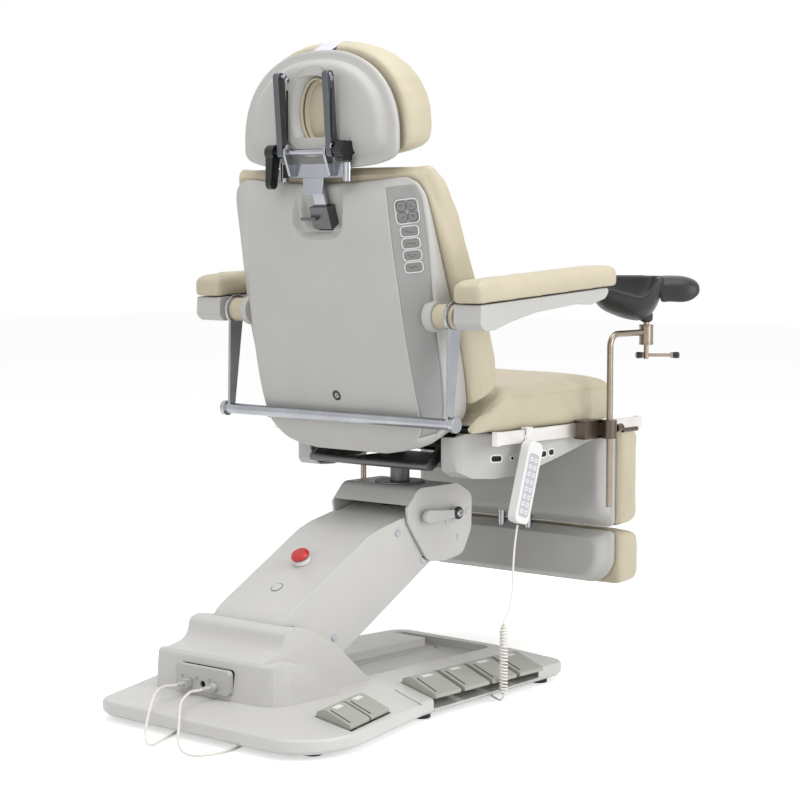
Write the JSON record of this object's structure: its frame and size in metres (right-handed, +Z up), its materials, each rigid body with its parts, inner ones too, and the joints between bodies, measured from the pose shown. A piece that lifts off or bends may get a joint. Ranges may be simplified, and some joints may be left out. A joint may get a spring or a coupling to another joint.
{
  "type": "gynaecological examination chair",
  "caption": "Electric examination chair on a swivelling lift arm, with a reclining back, headrest, armrests, leg section and knee supports on rails.",
  "frame": {"origin": "centre of the footprint, on the floor", "axes": "+Z up, -Y towards the foot end, +X towards the sitter's left"},
  "size_m": [0.8674, 1.2811, 1.288],
  "materials": {
    "paint": "satin",
    "shell_plastic": "fine grain",
    "leather_tan": "smooth synthetic leather",
    "steel": "plain",
    "chrome": "polished",
    "nickel": "warm nickel plate",
    "rail_metal": "anodised",
    "olive_plastic": "ribbed",
    "black_rubber": "matte",
    "black_plastic": "moulded",
    "white_plastic": "moulded",
    "red_plastic": "moulded",
    "panel_plastic": "fine grain",
    "soft_foam": "soft skin",
    "cord_vinyl": "smooth"
  },
  "bodies": {
    "base": {"base_plate": "paint", "base_feet": "black_rubber", "base_cover": "paint", "base_bracket": "steel", "socket_panel": "white_plastic", "pedal_pins": "steel", "data_cord": "cord_vinyl", "supply_cord": "cord_vinyl"},
    "pedal_1_body": {"pedal_1": "olive_plastic"},
    "pedal_2_body": {"pedal_2": "olive_plastic"},
    "pedal_3_body": {"pedal_3": "olive_plastic"},
    "pedal_4_body": {"pedal_4": "olive_plastic"},
    "pedal_5_body": {"pedal_5": "olive_plastic"},
    "pedal_6_body": {"pedal_6": "olive_plastic"},
    "pedal_7_body": {"pedal_7": "olive_plastic"},
    "arm": {"arm_shell": "paint", "arm_fittings": "chrome"},
    "stop_switch": {"stop_button": "red_plastic"},
    "link": {"level_link": "steel"},
    "head": {"head_housing": "paint", "swivel_disc": "steel"},
    "lock": {"lock_lever": "paint"},
    "swivel": {"swivel_frame": "steel"},
    "seat": {"seat_chassis": "steel", "seat_covers": "shell_plastic", "rails": "rail_metal", "seat_cushion": "leather_tan", "handset": "white_plastic", "support_clamps": "nickel", "handset_cord": "cord_vinyl"},
    "back": {"back_frame": "steel", "back_shell": "shell_plastic", "back_cushion": "leather_tan", "arm_bosses": "leather_tan", "control_panel": "panel_plastic", "head_clamp": "chrome"},
    "bracket": {"t_bracket": "chrome"},
    "neck": {"head_links": "chrome"},
    "headrest": {"headrest_shell": "shell_plastic", "headrest_cushion": "leather_tan", "face_plug": "leather_tan"},
    "cam": {"cam_lever": "black_plastic"},
    "knob": {"star_knob": "black_plastic"},
    "leg": {"leg_shell": "shell_plastic", "leg_cushion": "leather_tan"},
    "foot": {"foot_shell": "shell_plastic", "foot_cushion": "leather_tan"},
    "armrest_left": {"armrest_shell_left": "shell_plastic", "armrest_pad_left": "leather_tan"},
    "armrest_right": {"armrest_shell_right": "shell_plastic", "armrest_pad_right": "leather_tan"},
    "bar": {"roll_bar": "chrome"},
    "support_left": {"support_rod_left": "nickel"},
    "saddle_left": {"cradle_left": "soft_foam"},
    "screw_left": {"support_screw_left": "nickel"},
    "lever_left": {"clamp_lever_left": "nickel"},
    "support_right": {"support_rod_right": "nickel"},
    "saddle_right": {"cradle_right": "soft_foam"},
    "screw_right": {"support_screw_right": "nickel"},
    "lever_right": {"clamp_lever_right": "nickel"}
  },
  "joints": [
    {"name": "arm_lift", "type": "hinge", "parent": "base", "child": "arm", "pos_m": [0, 0.269, 0.124], "axis": [-1, 0, 0], "range_deg": [-4, 36], "deforming": ["handset_cord"]},
    {"name": "link_lift", "type": "hinge", "parent": "base", "child": "link", "pos_m": [0, 0.28748, 0.145], "axis": [-1, 0, 0], "range_deg": [-4, 36]},
    {"name": "head_level", "type": "hinge", "parent": "arm", "child": "head", "pos_m": [0, -0.151, 0.325], "axis": [-1, 0, 0], "range_deg": [-36, 4]},
    {"name": "lock_turn", "type": "hinge", "parent": "head", "child": "lock", "pos_m": [-0.112, -0.166, 0.338], "axis": [-1, 0, 0], "range_deg": [0, 60]},
    {"name": "stop_press", "type": "slide", "parent": "arm", "child": "stop_switch", "axis": [0, -0.488, -0.8728], "range_m": [0, 0.004], "stiffness_N_per_m": 400, "springref_m": -0.002},
    {"name": "swivel", "type": "hinge", "parent": "head", "child": "swivel", "pos_m": [0, -0.116, 0.436], "axis": [0, 0, 1], "range_deg": [-120, 120]},
    {"name": "seat_tilt", "type": "hinge", "parent": "swivel", "child": "seat", "pos_m": [0, -0.226, 0.464], "axis": [-1, 0, 0], "range_deg": [0, 10]},
    {"name": "back_recline", "type": "hinge", "parent": "seat", "child": "back", "pos_m": [0, -0.001, 0.51], "axis": [-1, 0, 0], "range_deg": [0, 70]},
    {"name": "bar_swing", "type": "hinge", "parent": "back", "child": "bar", "pos_m": [0, 0.064, 0.752], "axis": [-1, 0, 0], "range_deg": [-70, 0]},
    {"name": "armrest_lift_left", "type": "hinge", "parent": "back", "child": "armrest_left", "pos_m": [0.32, 0.064, 0.752], "axis": [-1, 0, 0], "range_deg": [0, 85]},
    {"name": "armrest_lift_right", "type": "hinge", "parent": "back", "child": "armrest_right", "pos_m": [-0.32, 0.064, 0.752], "axis": [-1, 0, 0], "range_deg": [0, 85]},
    {"name": "headrest_height", "type": "slide", "parent": "back", "child": "bracket", "axis": [0, 0.3256, 0.9455], "range_m": [0, 0.06]},
    {"name": "neck_tilt", "type": "hinge", "parent": "bracket", "child": "neck", "pos_m": [0, 0.158, 1.068], "axis": [-1, 0, 0], "range_deg": [0, 40]},
    {"name": "headrest_tilt", "type": "hinge", "parent": "neck", "child": "headrest", "pos_m": [0, 0.172, 1.214], "axis": [-1, 0, 0], "range_deg": [0, 30]},
    {"name": "cam_turn", "type": "hinge", "parent": "bracket", "child": "cam", "pos_m": [0.093, 0.158, 1.068], "axis": [1, 0, 0], "range_deg": [0, 70]},
    {"name": "knob_turn", "type": "hinge", "parent": "bracket", "child": "knob", "pos_m": [-0.093, 0.158, 1.068], "axis": [1, 0, 0], "continuous": true},
    {"name": "legrest_lift", "type": "hinge", "parent": "seat", "child": "leg", "pos_m": [0, -0.496, 0.508], "axis": [-1, 0, 0], "range_deg": [0, 88]},
    {"name": "foot_slide", "type": "slide", "parent": "leg", "child": "foot", "axis": [0, 0, -1], "range_m": [0, 0.12]},
    {"name": "support_height_left", "type": "slide", "parent": "seat", "child": "support_left", "axis": [0, 0, 1], "range_m": [-0.1, 0.12]},
    {"name": "cradle_turn_left", "type": "hinge", "parent": "support_left", "child": "saddle_left", "pos_m": [0.338, -0.511, 0.76], "axis": [0, 0, 1], "range_deg": [-60, 60]},
    {"name": "screw_turn_left", "type": "hinge", "parent": "support_left", "child": "screw_left", "pos_m": [0.338, -0.511, 0.655], "axis": [0, 0, 1], "range_deg": [-30, 90]},
    {"name": "lever_turn_left", "type": "hinge", "parent": "seat", "child": "lever_left", "pos_m": [0.338, -0.446, 0.509], "axis": [0, 1, 0], "range_deg": [0, 90]},
    {"name": "support_height_right", "type": "slide", "parent": "seat", "child": "support_right", "axis": [0, 0, 1], "range_m": [-0.1, 0.12]},
    {"name": "cradle_turn_right", "type": "hinge", "parent": "support_right", "child": "saddle_right", "pos_m": [-0.338, -0.511, 0.76], "axis": [0, 0, 1], "range_deg": [-60, 60]},
    {"name": "screw_turn_right", "type": "hinge", "parent": "support_right", "child": "screw_right", "pos_m": [-0.338, -0.511, 0.655], "axis": [0, 0, 1], "range_deg": [-30, 90]},
    {"name": "lever_turn_right", "type": "hinge", "parent": "seat", "child": "lever_right", "pos_m": [-0.338, -0.446, 0.509], "axis": [0, 1, 0], "range_deg": [0, 90]},
    {"name": "pedal_1_press", "type": "hinge", "parent": "base", "child": "pedal_1_body", "pos_m": [-0.22093, -0.18293, 0.036], "axis": [0.0175, -0.9998, 0], "range_deg": [0, 4], "stiffness_Nm_per_rad": 20, "springref_deg": -2.86},
    {"name": "pedal_2_press", "type": "hinge", "parent": "base", "child": "pedal_2_body", "pos_m": [-0.22247, -0.09495, 0.036], "axis": [0.0175, -0.9998, 0], "range_deg": [0, 4], "stiffness_Nm_per_rad": 20, "springref_deg": -2.86},
    {"name": "pedal_3_press", "type": "hinge", "parent": "base", "child": "pedal_3_body", "pos_m": [-0.224, -0.00696, 0.036], "axis": [0.0175, -0.9998, 0], "range_deg": [0, 4], "stiffness_Nm_per_rad": 20, "springref_deg": -2.86},
    {"name": "pedal_4_press", "type": "hinge", "parent": "base", "child": "pedal_4_body", "pos_m": [-0.22554, 0.08103, 0.036], "axis": [0.0175, -0.9998, 0], "range_deg": [0, 4], "stiffness_Nm_per_rad": 20, "springref_deg": -2.86},
    {"name": "pedal_5_press", "type": "hinge", "parent": "base", "child": "pedal_5_body", "pos_m": [-0.2731, 0.32645, 0.036], "axis": [0.2756, -0.9613, 0], "range_deg": [0, 4], "stiffness_Nm_per_rad": 20, "springref_deg": -2.86},
    {"name": "pedal_6_press", "type": "hinge", "parent": "base", "child": "pedal_6_body", "pos_m": [-0.2957, 0.40527, 0.036], "axis": [0.2756, -0.9613, 0], "range_deg": [0, 4], "stiffness_Nm_per_rad": 20, "springref_deg": -2.86},
    {"name": "pedal_7_press", "type": "hinge", "parent": "base", "child": "pedal_7_body", "pos_m": [0.182, 0.285, 0.036], "axis": [0, 1, 0], "range_deg": [0, 4], "stiffness_Nm_per_rad": 20, "springref_deg": -2.86}
  ],
  "couplings": [
    {"joint": "link_lift", "follows": "arm_lift", "ratio": 1},
    {"joint": "head_level", "follows": "arm_lift", "ratio": -1},
    {"joint": "bar_swing", "follows": "back_recline", "ratio": -1}
  ]
}
